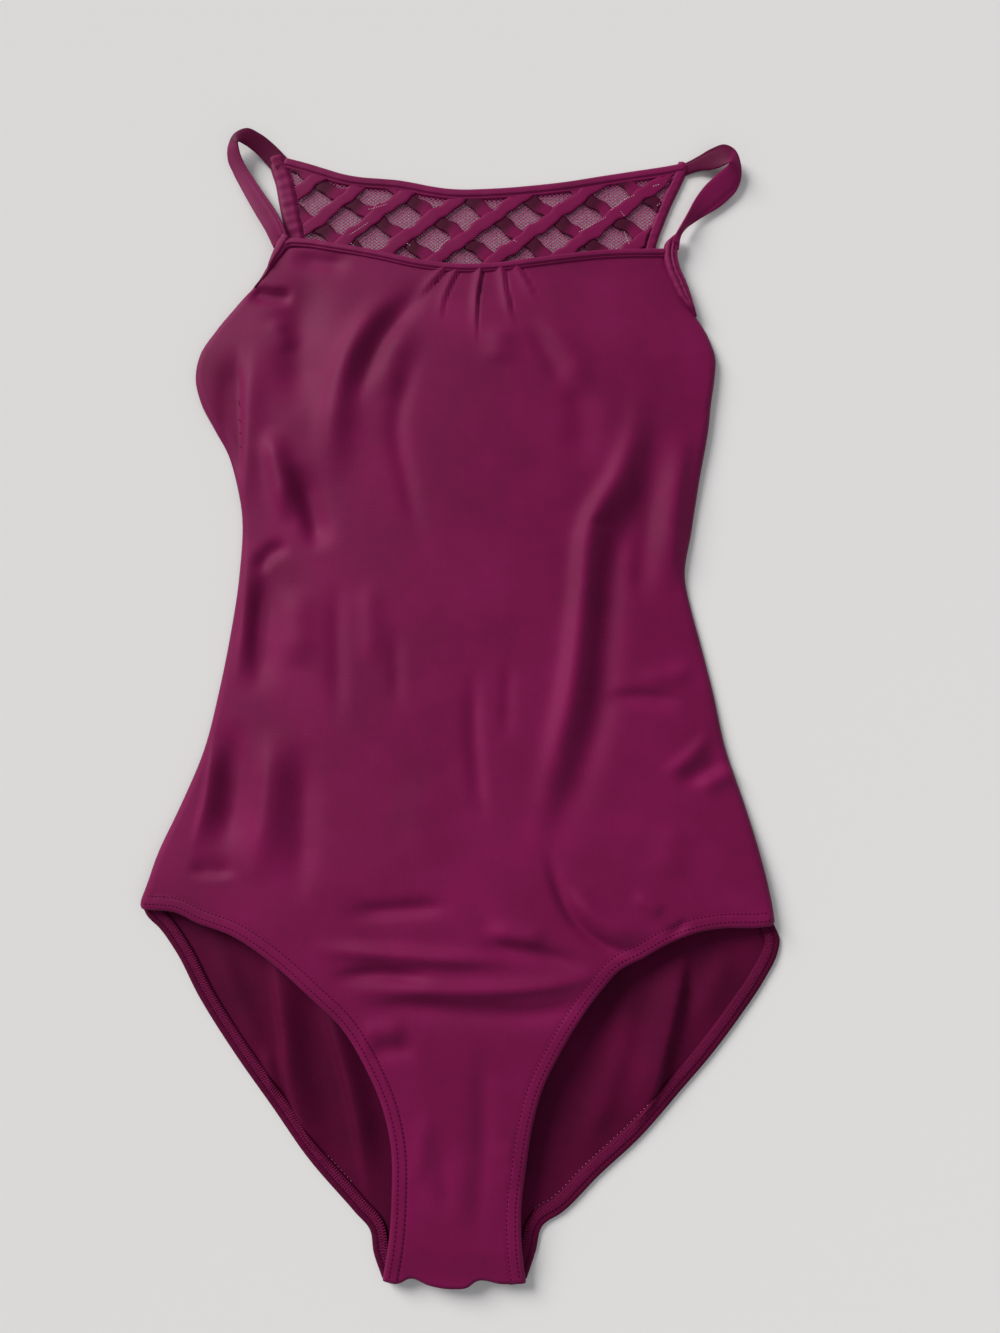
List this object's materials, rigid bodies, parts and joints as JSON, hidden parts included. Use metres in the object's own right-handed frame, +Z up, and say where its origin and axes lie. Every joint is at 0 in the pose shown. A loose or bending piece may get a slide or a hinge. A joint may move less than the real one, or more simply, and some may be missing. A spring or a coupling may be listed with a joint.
{
  "type": "gymnastics leotard",
  "caption": "Camisole gymnastics leotard laid flat, with a pleated front, a see-through lattice back yoke, looped shoulder straps and elasticated legs.",
  "frame": {"origin": "on the surface that the leotard lies on, under the middle of its outline", "axes": "+Z up out of the garment's front, +Y from the crotch towards the neck, +X towards the wearer's left"},
  "size_m": [0.326, 0.6222, 0.0152],
  "materials": {
    "knit_shell": "satin",
    "binding_tape": "satin",
    "lining": "matte",
    "gusset_knit": "matte",
    "net": "matte",
    "lattice_band": "satin",
    "elastic": "matte",
    "thread": "matte"
  },
  "bodies": {
    "garment": {"front_panel": "knit_shell", "front_lining": "lining", "back_panel": "knit_shell", "gusset_lining": "gusset_knit", "yoke_net": "net", "yoke_lattice": "lattice_band", "front_neck_binding": "binding_tape", "front_neck_elastic": "elastic", "back_neck_binding": "binding_tape", "back_neck_elastic": "elastic", "armhole_binding_front_left": "binding_tape", "armhole_elastic_front_left": "elastic", "armhole_binding_back_left": "binding_tape", "armhole_elastic_back_left": "elastic", "armhole_binding_front_right": "binding_tape", "armhole_elastic_front_right": "elastic", "armhole_binding_back_right": "binding_tape", "armhole_elastic_back_right": "elastic", "leg_hem_front_left": "knit_shell", "leg_elastic_front_left": "elastic", "leg_hem_back_left": "knit_shell", "leg_elastic_back_left": "elastic", "leg_hem_front_right": "knit_shell", "leg_elastic_front_right": "elastic", "leg_hem_back_right": "knit_shell", "leg_elastic_back_right": "elastic", "side_seam_left": "thread", "side_seam_right": "thread", "crotch_seam": "thread", "yoke_seam": "thread", "bartack_front_left": "thread", "bartack_back_left": "thread", "bartack_front_right": "thread", "bartack_back_right": "thread"},
    "strap_left": {"strap_left": "binding_tape", "strap_elastic_left": "elastic"},
    "strap_right": {"strap_right": "binding_tape", "strap_elastic_right": "elastic"}
  },
  "joints": [
    {"name": "strap_left_flip", "type": "hinge", "parent": "garment", "child": "strap_left", "pos_m": [0.12625, 0.26325, 0.00375], "axis": [-0.104, -0.9924, 0.0662], "range_deg": [0, 150]},
    {"name": "strap_right_flip", "type": "hinge", "parent": "garment", "child": "strap_right", "pos_m": [-0.10925, 0.26675, 0.00375], "axis": [-0.064, 0.9959, -0.064], "range_deg": [0, 150]}
  ]
}
